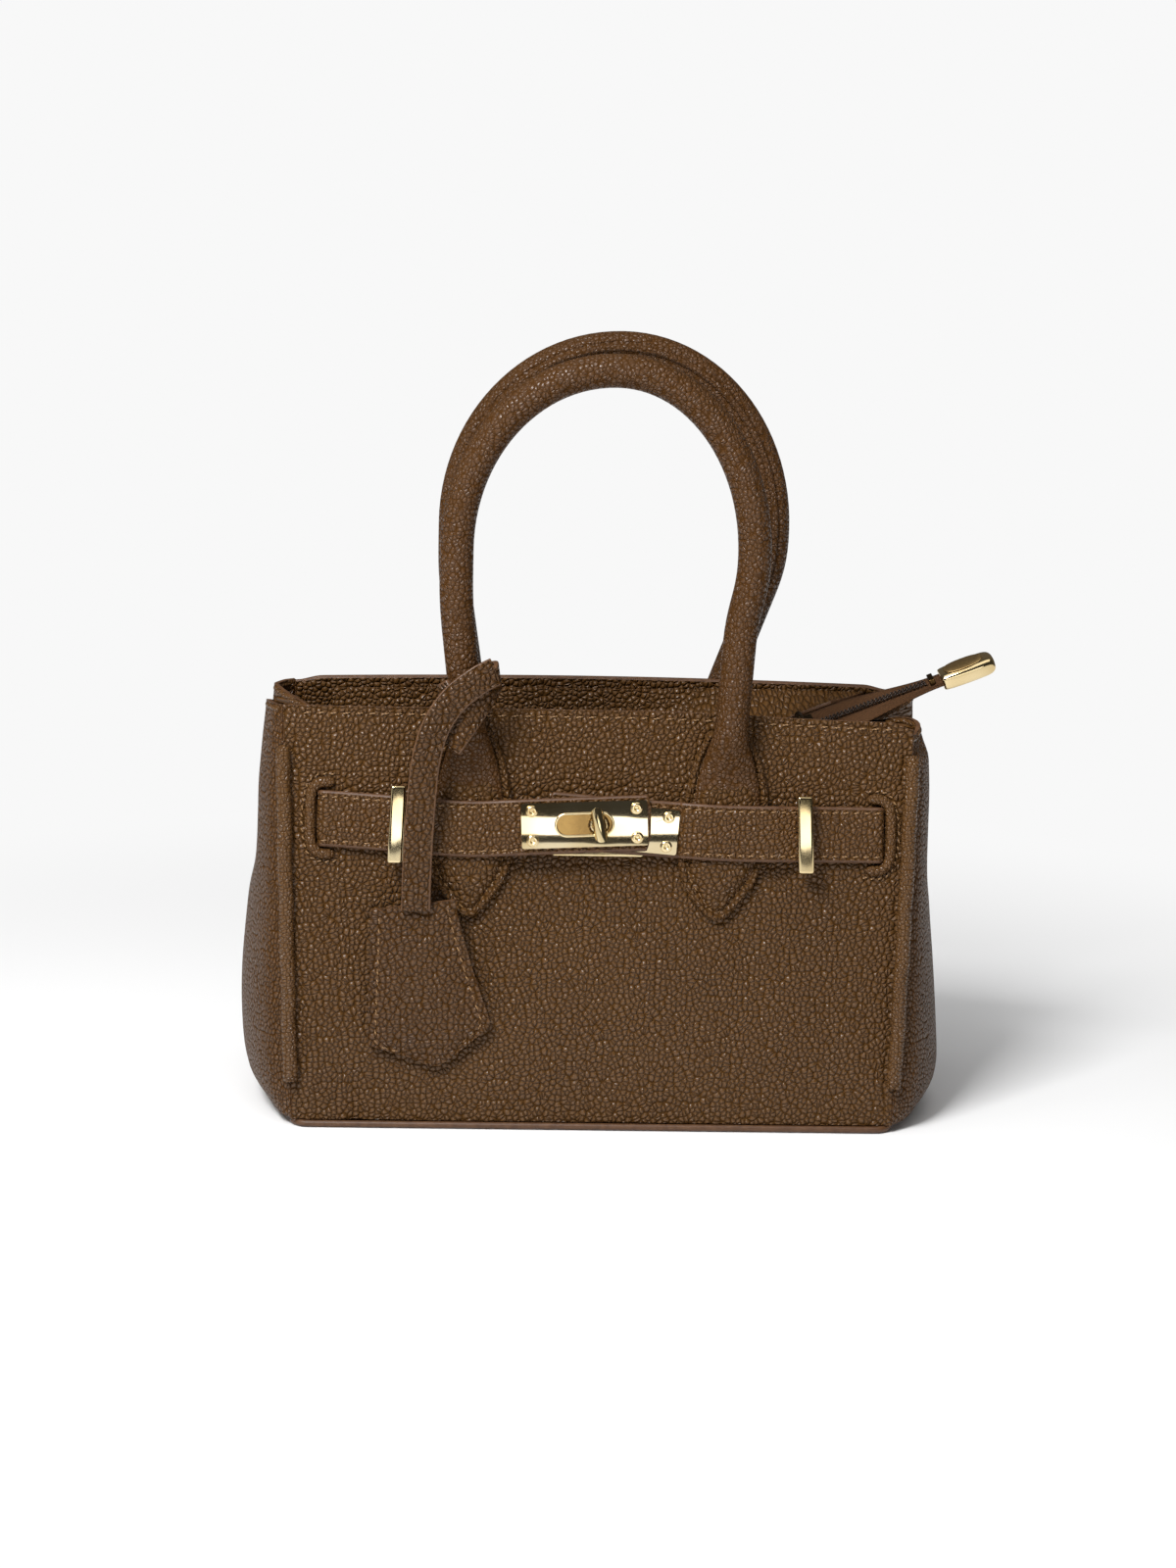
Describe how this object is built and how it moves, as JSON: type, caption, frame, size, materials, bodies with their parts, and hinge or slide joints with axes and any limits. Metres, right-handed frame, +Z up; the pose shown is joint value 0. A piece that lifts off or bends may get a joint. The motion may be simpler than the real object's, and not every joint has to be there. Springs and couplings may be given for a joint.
{
  "type": "top handle bag",
  "caption": "Small structured leather bag with twin tilting handles, a belt closed by a turn lock, a zip with a loose tail and a hanging key pouch.",
  "frame": {"origin": "centre of the flat base on the ground", "axes": "+X to the bag's right as seen from the front, +Y to the rear, +Z up; the lock faces -Y"},
  "size_m": [0.275, 0.1094, 0.2816],
  "materials": {
    "body_leather": "pebbled grain, satin",
    "edge_leather": "smooth edge paint, satin",
    "lining_leather": "fine grain, matte",
    "pouch_leather": "soft pebbled grain, satin",
    "gold_metal": "pale gold plating, polished",
    "zip_tape": "woven twill",
    "zip_coil": "moulded nylon",
    "handle_cord": "wound cotton cord",
    "stiff_board": "pressed board"
  },
  "bodies": {
    "bag": {"front_panel": "body_leather", "rear_panel": "body_leather", "base_panel": "body_leather", "base_board": "stiff_board", "base_piping": "edge_leather", "left_gusset": "body_leather", "right_gusset": "body_leather", "lining": "lining_leather", "inner_pocket": "lining_leather", "front_left_piping": "edge_leather", "front_right_piping": "edge_leather", "rear_left_piping": "edge_leather", "rear_right_piping": "edge_leather", "front_facing": "edge_leather", "rear_facing": "edge_leather", "front_zip_flap": "body_leather", "rear_zip_flap": "body_leather", "front_zip_tape": "zip_tape", "rear_zip_tape": "zip_tape", "front_zip_coil": "zip_coil", "rear_zip_coil": "zip_coil", "left_slot_lip": "edge_leather", "right_slot_lip": "edge_leather", "left_belt": "body_leather", "right_belt": "body_leather", "left_keeper": "gold_metal", "right_keeper": "gold_metal", "keeper_washers": "gold_metal", "lock_base_plate": "gold_metal", "lock_back_plate": "gold_metal", "left_lock_plate": "gold_metal", "right_lock_plate": "gold_metal", "left_plate_screws": "gold_metal", "right_plate_screws": "gold_metal", "front_left_tab": "body_leather", "front_right_tab": "body_leather", "rear_left_tab": "body_leather", "rear_right_tab": "body_leather", "key_strap_loop": "pouch_leather"},
    "front_handle": {"front_handle_cover": "body_leather", "front_handle_core": "handle_cord"},
    "rear_handle": {"rear_handle_cover": "body_leather", "rear_handle_core": "handle_cord"},
    "lock_toggle": {"lock_toggle": "gold_metal"},
    "zip_tail": {"tail_tape": "zip_tape", "tail_coils": "zip_coil", "tail_stop": "gold_metal", "tail_cap": "gold_metal"},
    "zip_slider": {"zip_slider": "gold_metal"},
    "zip_puller": {"zip_puller": "gold_metal"},
    "key_pouch": {"key_strap": "pouch_leather", "key_pouch_front": "pouch_leather", "key_pouch_back": "pouch_leather"}
  },
  "joints": [
    {"name": "front_handle_tilt", "type": "hinge", "parent": "bag", "child": "front_handle", "pos_m": [0, -0.0404, 0.176], "axis": [1, 0, 0], "range_deg": [-18, 55], "stiffness_Nm_per_rad": 0.08},
    {"name": "rear_handle_tilt", "type": "hinge", "parent": "bag", "child": "rear_handle", "pos_m": [0, 0.0404, 0.176], "axis": [-1, 0, 0], "range_deg": [-18, 55], "stiffness_Nm_per_rad": 0.08},
    {"name": "lock_toggle_turn", "type": "hinge", "parent": "bag", "child": "lock_toggle", "pos_m": [0, -0.03988, 0.1102], "axis": [0, -0.9888, 0.1493], "range_deg": [-11, 79]},
    {"name": "zip_tail_bend", "type": "hinge", "parent": "bag", "child": "zip_tail", "pos_m": [0.066, 0, 0.134], "axis": [0, -1, 0], "range_deg": [-3, 45]},
    {"name": "zip_slider_run", "type": "slide", "parent": "zip_tail", "child": "zip_slider", "axis": [0.9285, 0, 0.3714], "range_m": [0, 0.044]},
    {"name": "zip_puller_flip", "type": "hinge", "parent": "zip_slider", "child": "zip_puller", "pos_m": [0.0748, -0.0017, 0.1435], "axis": [-0.1086, 0.9563, 0.2715], "range_deg": [0, 160]},
    {"name": "key_pouch_swing", "type": "hinge", "parent": "bag", "child": "key_pouch", "pos_m": [-0.05457, -0.04988, 0.1518], "axis": [-1, 0, 0], "range_deg": [0, 60]}
  ]
}
